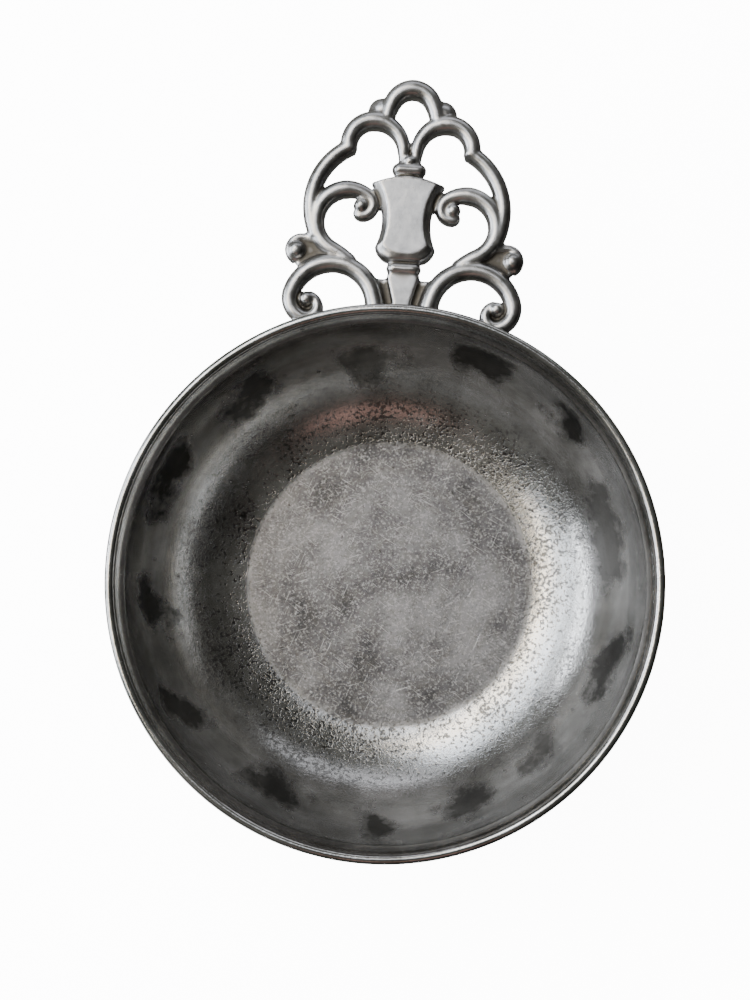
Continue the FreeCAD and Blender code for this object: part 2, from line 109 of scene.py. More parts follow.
# Balls: across, out, radius.
BALLS = {
    "heart_ball": (10.49, 22.53, 1.8),
    "lower_ball": (21.78, 0.6, 1.75),
    "ear_ball": (24.75, 11.6, 2.1),
}
LEAF = (7.0, 44.3, 3.3, 3.5)
EAR_WEB = [
    (18.2, 11.4), (20.5, 13.4), (23.0, 14.2), (25.4, 13.0),
    (26.2, 11.0), (24.6, 8.4), (22.0, 7.6), (18.0, 9.4)]
VOLUTE_WEB = (21.6, -0.9, 2.5)
CURL_ROOT = (22.4, -5.0, 2.2)
STEM_WEB = (6.0, 5.6)
# Vase, right side: shoulder, waist, belly, ankle and foot, and the same for its flat face.
VASE = [(8.5, 27.8), (5.6, 18.7), (6.9, 13.2), (6.1, 11.5), (4.05, 10.0)]
VASE_CROWN = 29.6
FACE = [(6.6, 28.0), (4.1, 19.4), (5.2, 13.9), (3.0, 12.2)]
FACE_CROWN = 29.4
FACE_FOOT = 11.6
UPPER_BEAD = (31.15, 3.95, 1.6)
LOWER_BEAD = (8.55, 4.0, 1.55)
KNOB = (33.2, 1.9, 1.5)
PLINTH_WIDE = (3.75, 7.1)
PLINTH_NARROW = (2.15, 1.2)


# ---------------------------------------------------------------- bowl

def arc_points(centre, radius, first, last, chord):
    """Points along an arc in millimetres, both ends included."""
    steps = max(2, math.ceil(abs(last - first) * radius / chord))
    angles = [first + (last - first) * i / steps for i in range(steps + 1)]
    return [(centre[0] + radius * math.cos(a), centre[1] + radius * math.sin(a)) for a in angles]


def line_points(start, end, chord):
    steps = max(1, math.ceil(math.dist(start, end) / chord))
    return [(start[0] + (end[0] - start[0]) * i / steps, start[1] + (end[1] - start[1]) * i / steps)
            for i in range(steps + 1)]


def bowl_arcs():
    """Centres and radii of the section's arcs."""
    neck_rise = NECK_RADIUS * (math.sin(NECK_TURN) + math.sin(NECK_FLARE))
    belly_height = (LIP_UNDER - neck_rise) / (1 + math.sin(NECK_TURN) / math.cos(BELLY_START))
    belly_radius = belly_height / math.cos(BELLY_START)
    reach = belly_radius + NECK_RADIUS
    neck = (RIM_RADIUS - LIP_OVERHANG + NECK_RADIUS * math.cos(NECK_FLARE),
            belly_height + reach * math.sin(NECK_TURN))
    belly = (neck[0] - reach * math.cos(NECK_TURN), belly_height)
    return belly, belly_radius, neck


def crown_radius(neck):
    """Half round of the lip that ends on the inside of the neck."""
    low, high = 0.1, LIP_DEPTH
    for _ in range(40):
        middle = (low + high) / 2
        gap = math.hypot(RIM_RADIUS - 2 * middle - neck[0], BOWL_HEIGHT - middle - neck[1])
        low, high = (low, middle) if gap > NECK_RADIUS + WALL else (middle, high)
    return low


def bowl_section():
    """Section from the middle of the floor, up the inside, over the lip and down to the base."""
    belly, belly_radius, neck = bowl_arcs()
    inside = belly_radius - WALL
    hollow = NECK_RADIUS + WALL
    crown = crown_radius(neck)
    crown_centre = (RIM_RADIUS - crown, BOWL_HEIGHT - crown)
    edge = LIP_DEPTH - crown
    edge_centre = (RIM_RADIUS - edge, crown_centre[1])
    dip = -math.asin((belly[1] - FLOOR_THICK) / inside)
    rise = math.asin((crown_centre[1] - neck[1]) / hollow)
    base = -math.asin(belly[1] / belly_radius)
    half = math.pi
    floor_edge = (belly[0] + inside * math.cos(dip), FLOOR_THICK)
    base_edge = (belly[0] + belly_radius * math.cos(base), 0.0)
    neck_out = (neck[0] - NECK_RADIUS * math.cos(NECK_FLARE), LIP_UNDER)
    runs = [
        line_points((0.0, FLOOR_THICK), floor_edge, 1.3),
        arc_points(belly, inside, dip, NECK_TURN, 0.9),
        arc_points(neck, hollow, half + NECK_TURN, half - rise, 0.5),
        arc_points(crown_centre, crown, half, 0.0, 0.25),
        arc_points(edge_centre, edge, 0.0, -half / 2, 0.25),
        line_points((edge_centre[0], LIP_UNDER), neck_out, 0.5),
        arc_points(neck, NECK_RADIUS, half - NECK_FLARE, half + NECK_TURN, 0.5),
        arc_points(belly, belly_radius, NECK_TURN, base, 0.9),
        line_points(base_edge, (0.0, 0.0), 1.5),
    ]
    section = [runs[0][0]]
    for run in runs:
        section += run[1:]
    return section


def add(tree, kind, links=None, **settings):
    """Adds a node with its settings, then sets or links its inputs by name or number."""
    made = tree.nodes.new(kind)
    for name, value in settings.items():
        setattr(made, name, value)
    for name, value in (links or {}).items():
        socket = made.inputs[name]
        if isinstance(value, bpy.types.NodeSocket):
            tree.links.new(value, socket)
        else:
            socket.default_value = value
    return made


def lathe_tree():
    """Turns a section about the upright axis, and keeps how far along the section each point is."""
    tree = bpy.data.node_groups.new("turn_on_lathe", "GeometryNodeTree")
    face = tree.interface
    face.new_socket("Section", in_out="INPUT", socket_type="NodeSocketGeometry")
    face.new_socket("Steps Around", in_out="INPUT", socket_type="NodeSocketInt")
    face.new_socket("Waviness", in_out="INPUT", socket_type="NodeSocketFloat")
    face.new_socket("Wave Size", in_out="INPUT", socket_type="NodeSocketFloat")
    face.new_socket("Finish", in_out="INPUT", socket_type="NodeSocketMaterial")
    face.new_socket("Turned", in_out="OUTPUT", socket_type="NodeSocketGeometry")
    given = add(tree, "NodeGroupInput").outputs
    count = add(tree, "GeometryNodeAttributeDomainSize", {0: given["Section"]}, component="MESH")
    around = add(tree, "ShaderNodeMath", {0: given["Steps Around"], 1: 1.0}, operation="ADD")
    grid = add(tree, "GeometryNodeMeshGrid", {
        "Size X": 1.0, "Size Y": 1.0,
        "Vertices X": count.outputs["Point Count"], "Vertices Y": around.outputs[0]})
    place = add(tree, "GeometryNodeInputPosition")
    parts = add(tree, "ShaderNodeSeparateXYZ", {0: place.outputs[0]})
    last = add(tree, "ShaderNodeMath", {0: count.outputs["Point Count"], 1: 1.0}, operation="SUBTRACT")
    along = add(tree, "ShaderNodeMath", {0: parts.outputs["X"], 1: 0.5}, operation="ADD")
    index = add(tree, "ShaderNodeMath", {0: along.outputs[0], 1: last.outputs[0]}, operation="MULTIPLY")
    whole = add(tree, "ShaderNodeMath", {0: index.outputs[0]}, operation="ROUND")
    spot = add(tree, "GeometryNodeSampleIndex", {
        "Geometry": given["Section"], "Value": place.outputs[0], "Index": whole.outputs[0]},
        data_type="FLOAT_VECTOR", domain="POINT")
    run = add(tree, "GeometryNodeInputNamedAttribute", {"Name": "run"}, data_type="FLOAT")
    length = add(tree, "GeometryNodeSampleIndex", {
        "Geometry": given["Section"], "Value": run.outputs[0], "Index": whole.outputs[0]},
        data_type="FLOAT", domain="POINT")
    kept = add(tree, "GeometryNodeStoreNamedAttribute", {
        "Geometry": grid.outputs["Mesh"], "Name": "run", "Value": length.outputs[0]},
        data_type="FLOAT", domain="POINT")
    turn = add(tree, "ShaderNodeMath", {0: parts.outputs["Y"], 1: 2 * math.pi}, operation="MULTIPLY")
    east = add(tree, "ShaderNodeMath", {0: turn.outputs[0]}, operation="COSINE")
    north = add(tree, "ShaderNodeMath", {0: turn.outputs[0]}, operation="SINE")
    flat = add(tree, "ShaderNodeSeparateXYZ", {0: spot.outputs[0]})
    east_far = add(tree, "ShaderNodeMath", {0: east.outputs[0], 1: flat.outputs["X"]}, operation="MULTIPLY")
    north_far = add(tree, "ShaderNodeMath", {0: north.outputs[0], 1: flat.outputs["X"]}, operation="MULTIPLY")
    turned = add(tree, "ShaderNodeCombineXYZ", {
        "X": east_far.outputs[0], "Y": north_far.outputs[0], "Z": flat.outputs["Z"]})
    swept = add(tree, "GeometryNodeSetPosition", {
        "Geometry": kept.outputs[0], "Position": turned.outputs[0]})
    closed = add(tree, "GeometryNodeMergeByDistance", {
        "Geometry": swept.outputs[0], "Distance": 0.002 * MM})
    waves = add(tree, "ShaderNodeTexNoise", {"Scale": given["Wave Size"], "Detail": 1.0})
    level = add(tree, "ShaderNodeMath", {0: waves.outputs["Fac"], 1: 0.5}, operation="SUBTRACT")
    height = add(tree, "ShaderNodeMath", {0: level.outputs[0], 1: given["Waviness"]}, operation="MULTIPLY")
    shift = add(tree, "ShaderNodeCombineXYZ", {"Z": height.outputs[0]})
    waved = add(tree, "GeometryNodeSetPosition", {"Geometry": closed.outputs[0], "Offset": shift.outputs[0]})
    smooth = add(tree, "GeometryNodeSetShadeSmooth", {"Geometry": waved.outputs[0]})
    real = add(tree, "GeometryNodeRealizeInstances", {"Geometry": smooth.outputs[0]})
    finished = add(tree, "GeometryNodeSetMaterial", {
        "Geometry": real.outputs[0], "Material": given["Finish"]})
    add(tree, "NodeGroupOutput", {"Turned": finished.outputs[0]})
    return tree


def section_mesh(name, points):
    """Edges along a section, with the distance along it, in millimetres, as the attribute run."""
    mesh = bpy.data.meshes.new(name)
    edges = [(i, i + 1) for i in range(len(points) - 1)]
    mesh.from_pydata([(r * MM, 0, z * MM) for r, z in points], edges, [])
    steps = [0.0] + [math.dist(a, b) for a, b in zip(points, points[1:])]
    run = mesh.attributes.new("run", "FLOAT", "POINT")
    run.data.foreach_set("value", np.cumsum(steps))
    return mesh


def make_bowl(finish):
    """The turned bowl, revolved from its section."""
    section = bpy.data.objects.new("bowl_section", section_mesh("bowl_section", bowl_section()))
    bpy.context.scene.collection.objects.link(section)
    lathe = section.modifiers.new("lathe", "NODES")
    tree = lathe_tree()
    values = {"Steps Around": STEPS_AROUND, "Waviness": 0.10 * MM, "Wave Size": 38.0, "Finish": finish}
    for item in tree.interface.items_tree:
        if item.in_out == "INPUT" and item.name in values:
            values[item.identifier] = values.pop(item.name)
    lathe.node_group = tree
    for identifier, value in values.items():
        lathe[identifier] = value
    ready = section.evaluated_get(bpy.context.evaluated_depsgraph_get())
    mesh = bpy.data.meshes.new_from_object(ready)
    bpy.data.objects.remove(section)
    return new_piece("turned_bowl", mesh)


def new_piece(name, mesh):
    piece = bpy.data.objects.new(name, mesh)
    bpy.context.scene.collection.objects.link(piece)
    return piece


# ---------------------------------------------------------------- handle

def wall_radius(z):
    """Outside of the bowl at a height, in millimetres, for an array of heights."""
    belly, belly_radius, neck = bowl_arcs()
    z = np.clip(z, 0.0, LIP_UNDER)
    low = belly[0] + np.sqrt(np.maximum(belly_radius ** 2 - (z - belly[1]) ** 2, 0.0))
    high = neck[0] - np.sqrt(np.maximum(NECK_RADIUS ** 2 - (z - neck[1]) ** 2, 0.0))
    return np.where(z < belly[1] + belly_radius * math.sin(NECK_TURN), low, high)


def tangent_run(start, heading, width, joins, spacing=0.45):
    """Centre line of a rod: places, headings and widths along its tangent arcs."""
    heading = math.radians(heading)
    run = [(start[0], start[1], heading, width)]
    here = start
    for x, y, there_width in joins:
        chord = math.dist(here, (x, y))
        half_turn = math.remainder(math.atan2(y - here[1], x - here[0]) - heading, 2 * math.pi)
        radius = chord / (2 * math.sin(half_turn))
        centre = (here[0] - radius * math.sin(heading), here[1] + radius * math.cos(heading))
        steps = max(3, math.ceil(abs(2 * half_turn * radius) / spacing))
        for i in range(1, steps + 1):
            way = heading + 2 * half_turn * i / steps
            run.append((centre[0] + radius * math.sin(way), centre[1] - radius * math.cos(way), way,
                        width + (there_width - width) * i / steps))
        heading += 2 * half_turn
        here = (x, y)
        width = there_width
    return run


class Casting:
    """Closed shells in millimetres, gathered to be fused into one casting."""

    def __init__(self):
        self.points = []
        self.faces = []

    def add(self, points, faces, mirrored=False):
        """Adds a shell, and its mirror image across the handle's centre line if asked."""
        first = len(self.points)
        self.points += [tuple(p) for p in points]
        self.faces += [tuple(first + i for i in face) for face in faces]
        if mirrored:
            self.add([(-x, y, z) for x, y, z in points], [face[::-1] for face in faces])

    def loft(self, loops, mirrored=False):
        """Skin through loops of equal length, closed at both ends."""
        count = len(loops[0])
        points = [p for loop in loops for p in loop]
        faces = [tuple(range(count))[::-1], tuple(range(len(points) - count, len(points)))]
        for level in range(len(loops) - 1):
            for i in range(count):
                a, b = level * count + i, level * count + (i + 1) % count
                faces.append((a, b, b + count, a + count))
        self.add(points, faces, mirrored)

    def ball(self, centre, radii, mirrored=False):
        """Rounded lump, cut off flat at the handle's back."""
        steps, levels = 24, 12
        loops = []
        for level in range(1, levels):
            tilt = math.pi * level / levels - math.pi / 2
            loops.append([(centre[0] + radii[0] * math.cos(tilt) * math.cos(2 * math.pi * i / steps),
                           centre[1] + radii[1] * math.cos(tilt) * math.sin(2 * math.pi * i / steps),
                           max(HANDLE_BACK, centre[2] + radii[2] * math.sin(tilt))) for i in range(steps)])
        self.loft(loops, mirrored)

    def prism(self, outline, low, high, mirrored=False):
        self.loft([[(x, y, z) for x, y in outline] for z in (low, high)], mirrored)

    def disc(self, x, y, radius, low, high, mirrored=False):
        outline = [(x + radius * math.cos(math.tau * i / 40), y + radius * math.sin(math.tau * i / 40))
                   for i in range(40)]
        self.prism(outline, low, high, mirrored)

    def object(self, name):
        mesh = bpy.data.meshes.new(name)
        points = [(x * SPAN_SHARE * MM, (RIM_RADIUS + (y - RIM_RADIUS) * REACH_SHARE) * MM, z * MM)
                  for x, y, z in self.points]
        mesh.from_pydata(points, [], self.faces)
        return new_piece(name, mesh)


def rod_loops(run, grow=0.0):
    """Loops of a rod's section along its run: flat back, straight sides, rounded crown."""
    crown_steps = 10
    loops = []
    for x, y, way, width in run:
        half = width / 2 + grow
        section = [(half, -grow)]
        turns = [math.pi * i / crown_steps for i in range(crown_steps + 1)]
        section += [(half * math.cos(turn), ROD_SIDE + half * math.sin(turn)) for turn in turns]
        section.append((-half, -grow))
        loops.append([(x - math.sin(way) * off, y + math.cos(way) * off + RIM_RADIUS, HANDLE_BACK + up)
                      for off, up in reversed(section)])
    return loops


def arc_through(start, through, end, steps):
    """Points on the circle through three points, without the last one."""
    ax, ay, bx, by = through[0] - start[0], through[1] - start[1], end[0] - start[0], end[1] - start[1]
    area = 2 * (ax * by - ay * bx)
    ux = (by * (ax * ax + ay * ay) - ay * (bx * bx + by * by)) / area
    uy = (ax * (bx * bx + by * by) - bx * (ax * ax + ay * ay)) / area
    centre = (start[0] + ux, start[1] + uy)
    radius = math.hypot(ux, uy)
    first = math.atan2(-uy, -ux)
    sweep = math.remainder(math.atan2(end[1] - centre[1], end[0] - centre[0]) - first, math.tau)
    if (sweep > 0) != (area > 0):
        sweep += math.copysign(math.tau, -sweep)
    return [(centre[0] + radius * math.cos(first + sweep * i / steps),
             centre[1] + radius * math.sin(first + sweep * i / steps)) for i in range(steps)]


def vase_loops():
    """Vase: outline at the back, a rounded foot, and a smaller flat face."""
    shoulder, waist, belly, ankle, foot = VASE
    outline = arc_through((0, VASE_CROWN), (4.4, VASE_CROWN - 0.5), shoulder, 10)
    outline += arc_through(shoulder, waist, belly, 14)
    outline += arc_through(belly, ankle, foot, 8)
    outline += [foot, (2.0, foot[1]), (0.0, foot[1])]
    corner, face_waist, face_belly, face_ankle = FACE
    face = arc_through((0, FACE_CROWN), (3.3, FACE_CROWN - 0.35), corner, 10)
    face += arc_through(corner, face_waist, face_belly, 14)
    face += arc_through(face_belly, face_ankle, (0, FACE_FOOT), 10)
    face += [(0.0, FACE_FOOT)]
    top = HANDLE_THICK + VASE_RISE
    side = 2.6
    loops = []
    steps = ((0.0, 0.0, 0.0), (0.0, side, 0.0), (0.3, 0.45, 0.6), (0.7, 0.8, 0.45), (1.0, 1.0, 0.0))
    for share, height, bulge in steps:
        loop = []
        for (x, y), (face_x, face_y) in zip(outline, face):
            low = max(0.0, 1.0 - max(0.0, y - foot[1]) / 4.5)
            up = height if share == 0.0 else side + (top - side) * (share + bulge * low * (1 - share))
            loop.append((x + (face_x - x) * share, y + (face_y - y) * share + RIM_RADIUS, HANDLE_BACK + up))
        loop += [(-x, y, z) for x, y, z in reversed(loop[1:-1])]
        loops.append(loop[::-1])
    return loops


def bracket_loops(grow=0.0):
    """Bracket down the wall under the handle, hollowed like a corbel."""
    belly, belly_radius, _ = bowl_arcs()
    wall = belly[0] + belly_radius
    tip = HANDLE_BACK - BRACKET_DEPTH
    hollow = (wall + BRACKET_LENGTH * BRACKET_HOLLOW, HANDLE_BACK - BRACKET_DEPTH * BRACKET_HOLLOW)
    front = arc_through((wall + BRACKET_TOE, tip), hollow, (wall + BRACKET_LENGTH, HANDLE_BACK), 14)
    front += [(wall + BRACKET_LENGTH, HANDLE_BACK), (wall + BRACKET_LENGTH, HANDLE_BACK + WEB_THICK)]
    root = wall - ROOT_DEPTH
    profile = [(root, HANDLE_BACK + WEB_THICK), (root, tip)] + front
    middle = np.mean(profile, axis=0)
    spread = [(y + math.copysign(grow, y - middle[0]), z + math.copysign(grow, z - middle[1]))
              for y, z in profile]
    half = BRACKET_WIDTH / 2 + grow
    return [[(x, y, z) for y, z in spread] for x in (-half, half)]


def add_stem(casting):
    """Vase, beads and knob on the handle's centre line."""
    casting.loft(vase_loops())
    for out, half_length, half_breadth in (UPPER_BEAD, LOWER_BEAD):
        middle = HANDLE_BACK + HANDLE_THICK / 2
        rise = HANDLE_THICK / 2 + 0.1
        inner = half_length - half_breadth
        for side in (-inner, inner):
            casting.ball((side, out + RIM_RADIUS, middle), (half_breadth, half_breadth, rise))
        ring = [(out + RIM_RADIUS + half_breadth * math.cos(math.tau * i / 24),
                 middle + rise * math.sin(math.tau * i / 24)) for i in range(24)]
        casting.loft([[(x, y, z) for y, z in ring] for x in (-inner, inner)])
    casting.ball((0, KNOB[0] + RIM_RADIUS, HANDLE_BACK + 1.6), (KNOB[1], KNOB[2], 2.4))


def add_roots(casting, grow=0.0):
    """What meets the bowl: plinth, web, bracket, and the curls' roots under the lip."""
    belly, belly_radius, _ = bowl_arcs()
    root = belly[0] + belly_radius - ROOT_DEPTH
    wide, narrow = PLINTH_WIDE[0] + grow, PLINTH_NARROW[0] + grow
    plinth = [(-narrow, root), (narrow, root), (narrow, PLINTH_NARROW[1] + RIM_RADIUS),
              (wide, PLINTH_WIDE[1] + RIM_RADIUS), (-wide, PLINTH_WIDE[1] + RIM_RADIUS),
              (-narrow, PLINTH_NARROW[1] + RIM_RADIUS)]
    casting.prism(plinth, HANDLE_BACK, HANDLE_BACK + 3.5 + grow)
    width, out = STEM_WEB
    web = [(-width, root), (width, root), (width, out + RIM_RADIUS), (-width, out + RIM_RADIUS)]
    casting.prism(web, HANDLE_BACK - grow, HANDLE_BACK + WEB_THICK + grow)
    casting.loft(bracket_loops(grow))
    x, y, radius = CURL_ROOT
    low, high = HANDLE_BACK - grow, HANDLE_BACK + 3.2 + grow
    casting.disc(x, y + RIM_RADIUS, radius + grow, low, high, mirrored=True)


def fuse(casting, name, voxel, passes):
    """One smooth skin over all the shells of a casting."""
    piece = casting.object(name)
    melt = piece.modifiers.new("melt", "REMESH")
    melt.mode = "VOXEL"
    melt.voxel_size = voxel * MM
    melt.use_smooth_shade = True
    soften = piece.modifiers.new("soften", "SMOOTH")
    soften.factor = 0.5
    soften.iterations = passes
    ready = piece.evaluated_get(bpy.context.evaluated_depsgraph_get())
    mesh = bpy.data.meshes.new_from_object(ready)
    bpy.data.objects.remove(piece)
    return mesh


def press_to_wall(mesh, nearest, furthest=1e3):
    """Moves points so that they stand between two distances from the bowl's outside."""
    spots = np.empty(len(mesh.vertices) * 3)
    mesh.vertices.foreach_get("co", spots)
    spots = spots.reshape(-1, 3)
    radius = np.hypot(spots[:, 0], spots[:, 1])
    wall = wall_radius(spots[:, 2] / MM) * MM
    wanted = wall + np.clip(radius - wall, nearest * MM, furthest * MM)
    spots[:, :2] *= (wanted / radius)[:, None]
    mesh.vertices.foreach_set("co", spots.ravel())
    mesh.update()


def keep_cavity(mesh, rounds):
    """Stores how deep each point lies in a hollow, in millimetres, as the attribute cavity."""
    count = len(mesh.vertices)
    spots = np.empty(count * 3)
    mesh.vertices.foreach_get("co", spots)
    normals = np.empty(count * 3)
    mesh.vertex_normals.foreach_get("vector", normals)
    pairs = np.empty(len(mesh.edges) * 2, dtype=np.int32)
    mesh.edges.foreach_get("vertices", pairs)
    spots, normals, pairs = spots.reshape(-1, 3), normals.reshape(-1, 3), pairs.reshape(-1, 2)
    both = np.concatenate([pairs, pairs[:, ::-1]])
    share = 1.0 / np.maximum(np.bincount(both[:, 0], minlength=count), 1)
    level = spots.copy()
    for _ in range(rounds):
        sums = [np.bincount(both[:, 0], level[both[:, 1], k], count) for k in range(3)]
        level = np.stack([total * share for total in sums], axis=1)
    depth = ((level - spots) * normals).sum(axis=1) / MM
    mesh.attributes.new("cavity", "FLOAT", "POINT").data.foreach_set("value", depth)


def make_handle(finish):
    """The pierced handle: all its rods, balls, webs and stem in one casting."""
    casting = Casting()
    for start, heading, width, joins in RODS.values():
        casting.loft(rod_loops(tangent_run(start, heading, width, joins)), mirrored=True)
    for x, y, radius in BALLS.values():
        casting.ball((x, y + RIM_RADIUS, HANDLE_BACK + 2.0), (radius, radius, 2.0), mirrored=True)
    x, y, radius = VOLUTE_WEB
    casting.disc(x, y + RIM_RADIUS, radius, HANDLE_BACK, HANDLE_BACK + WEB_THICK, mirrored=True)
    x, y, wide, tall = LEAF
    casting.ball((x, y + RIM_RADIUS, HANDLE_BACK + 0.4), (wide, tall, 3.0), mirrored=True)
    ear = [(x, y + RIM_RADIUS) for x, y in EAR_WEB][::-1]
    casting.prism(ear, HANDLE_BACK, HANDLE_BACK + 2.5, mirrored=True)
    add_stem(casting)
    add_roots(casting)
    mesh = fuse(casting, "handle_shells", VOXEL, 2)
    press_to_wall(mesh, SOLDER_GAP)
    keep_cavity(mesh, 24)
    mesh.materials.append(finish)
    return new_piece("pierced_handle", mesh)


def make_solder(finish):
    """Solder run round the handle's roots, against the bowl's wall."""
    casting = Casting()
    start, heading, width, joins = RODS["lower_scroll"]
    run = [spot for spot in tangent_run(start, heading, width, joins) if spot[1] < -0.5][:20]
    casting.loft(rod_loops(run, SOLDER_LAP), mirrored=True)
    add_roots(casting, SOLDER_LAP)
    mesh = fuse(casting, "solder_shells", SOLDER_VOXEL, 1)
    press_to_wall(mesh, 0.0, 0.55)
    mesh.materials.append(finish)
    return new_piece("solder_run", mesh)


# ---------------------------------------------------------------- finishes

def colour(hexcode):
    """Linear colour from an sRGB hex value."""
    parts = [int(hexcode[i:i + 2], 16) / 255 for i in (1, 3, 5)]
    return [v / 12.92 if v <= 0.04045 else ((v + 0.055) / 1.055) ** 2.4 for v in parts] + [1.0]


def new_material(name):
    material = bpy.data.materials.new(name)
    material.use_nodes = True
    tree = material.node_tree
    tree.nodes.clear()
    return material, tree


def turned_pewter():
    """Old turned pewter: dull and speckled on the floor, still half bright up the wall, with black blots."""
    material, tree = new_material("aged_turned_pewter")
    where = add(tree, "ShaderNodeTexCoord").outputs["Object"]
    run = add(tree, "ShaderNodeAttribute", attribute_name="run").outputs["Fac"]
    spot = add(tree, "ShaderNodeSeparateXYZ", {0: where})
    angle = add(tree, "ShaderNodeMath", {
        0: spot.outputs["Y"], 1: spot.outputs["X"]}, operation="ARCTAN2").outputs[0]

    # Where it is worn dull: all over the floor, and fading out up the belly.
    clouds = add(tree, "ShaderNodeTexNoise", {
        "Vector": where, "Scale": 65.0, "Detail": 7.0, "Roughness": 0.62})
    edge = add(tree, "ShaderNodeMath", {0: clouds.outputs["Fac"], 1: 2.0, 2: run}, operation="MULTIPLY_ADD")
    floor = add(tree, "ShaderNodeMapRange", {
        "Value": edge.outputs[0], "From Min": 35.4, "From Max": 37.4,
        "To Min": 1.0, "To Max": 0.0}).outputs[0]
    worn = add(tree, "ShaderNodeMapRange", {
        "Value": run, "From Min": 42.0, "From Max": 60.0, "To Min": 1.0, "To Max": 0.0}).outputs[0]

    # Cloudy light and dark grey, from long oxidation: patches of about 15 mm, broken up at 3 mm.
    cloudy = add(tree, "ShaderNodeMapRange", {
        "Value": clouds.outputs["Fac"], "From Min": 0.36, "From Max": 0.64})
    wall_shade = add(tree, "ShaderNodeMix", {
        0: cloudy.outputs[0], 6: colour("#848481"), 7: colour("#b2b2b0")}, data_type="RGBA").outputs[2]
    floor_shade = add(tree, "ShaderNodeMix", {
        0: cloudy.outputs[0], 6: colour("#424243"), 7: colour("#868687")}, data_type="RGBA").outputs[2]
    shade = add(tree, "ShaderNodeMix", {0: floor, 6: wall_shade, 7: floor_shade}, data_type="RGBA").outputs[2]

    # Speckle of corrosion on the floor, light and dark, 0.6 mm.
    grain = add(tree, "ShaderNodeTexNoise", {
        "Vector": where, "Scale": 1900.0, "Detail": 2.0, "Roughness": 0.6})
    pale = add(tree, "ShaderNodeMapRange", {
        "Value": grain.outputs["Fac"], "From Min": 0.52, "From Max": 0.64, "To Max": 0.7})
    pale_here = add(tree, "ShaderNodeMath", {0: pale.outputs[0], 1: floor}, operation="MULTIPLY")
    shade = add(tree, "ShaderNodeMix", {
        0: pale_here.outputs[0], 6: shade, 7: colour("#a8a8a7")}, data_type="RGBA").outputs[2]
    dusk = add(tree, "ShaderNodeTexNoise", {
        "Vector": where, "Scale": 1150.0, "Detail": 3.0, "Roughness": 0.6})
    thick = add(tree, "ShaderNodeMapRange", {
        "Value": clouds.outputs["Fac"], "From Min": 0.35, "From Max": 0.65, "To Min": 0.10, "To Max": 0.0})
    dimmed = add(tree, "ShaderNodeMath", {0: dusk.outputs["Fac"], 1: thick.outputs[0]}, operation="ADD")
    dark = add(tree, "ShaderNodeMapRange", {
        "Value": dimmed.outputs[0], "From Min": 0.57, "From Max": 0.67, "To Max": 0.85})
    thin = add(tree, "ShaderNodeMath", {0: floor, 1: -0.55, 2: worn}, operation="MULTIPLY_ADD")
    dark_here = add(tree, "ShaderNodeMath", {0: dark.outputs[0], 1: thin.outputs[0]}, operation="MULTIPLY")
    shade = add(tree, "ShaderNodeMix", {
        0: dark_here.outputs[0], 6: shade, 7: colour("#2c2c2b")}, data_type="RGBA").outputs[2]

    # Ragged dark spots of deeper corrosion, about 2 mm, on the floor and low on the wall.
    eaten = add(tree, "ShaderNodeTexNoise", {
        "Vector": where, "Scale": 330.0, "Detail": 5.0, "Roughness": 0.7})
    spots = add(tree, "ShaderNodeMapRange", {
        "Value": eaten.outputs["Fac"], "From Min": 0.64, "From Max": 0.72, "To Max": 0.8}).outputs[0]
    shade = add(tree, "ShaderNodeMix", {
        0: spots, 6: shade, 7: colour("#2a2926")}, data_type="RGBA").outputs[2]

    # Short scratches from knives and scouring, in four directions; 0.3 mm wide so that they still show.
    marks = None
    for turn in (0.35, 1.2, -0.5, 2.5):
        laid = add(tree, "ShaderNodeMapping", {
            "Vector": where, "Rotation": (0.0, 0.0, turn), "Scale": (9.0 * MM, 0.3 * MM, 1.0)},
            vector_type="TEXTURE")
        lines = add(tree, "ShaderNodeTexNoise", {"Vector": laid.outputs[0], "Scale": 1.0, "Detail": 1.0})
        line = add(tree, "ShaderNodeMapRange", {
            "Value": lines.outputs["Fac"], "From Min": 0.69, "From Max": 0.75})
        marks = line.outputs[0] if marks is None else add(
            tree, "ShaderNodeMath", {0: marks, 1: line.outputs[0]}, operation="MAXIMUM").outputs[0]
    scratches = add(tree, "ShaderNodeMath", {0: marks, 1: floor}, operation="MULTIPLY").outputs[0]
    bright = add(tree, "ShaderNodeMath", {0: scratches, 1: 0.45}, operation="MULTIPLY")
    shade = add(tree, "ShaderNodeMix", {
        0: bright.outputs[0], 6: shade, 7: colour("#dcdcda")}, data_type="RGBA").outputs[2]

    # Faint film on the wall, drawn out around it by the turning.
    around = add(tree, "ShaderNodeMath", {0: angle, 1: 3.0}, operation="MULTIPLY")
    climbed = add(tree, "ShaderNodeMath", {0: run, 1: 0.5}, operation="MULTIPLY")
    combed = add(tree, "ShaderNodeCombineXYZ", {"X": around.outputs[0], "Y": climbed.outputs[0]})
    rings = add(tree, "ShaderNodeTexNoise", {"Vector": combed.outputs[0], "Scale": 1.0, "Detail": 4.0})
    filmy = add(tree, "ShaderNodeMapRange", {
        "Value": rings.outputs["Fac"], "From Min": 0.45, "From Max": 0.75, "To Max": 0.35})
    shade = add(tree, "ShaderNodeMix", {
        0: filmy.outputs[0], 6: shade, 7: colour("#66645d")}, data_type="RGBA").outputs[2]

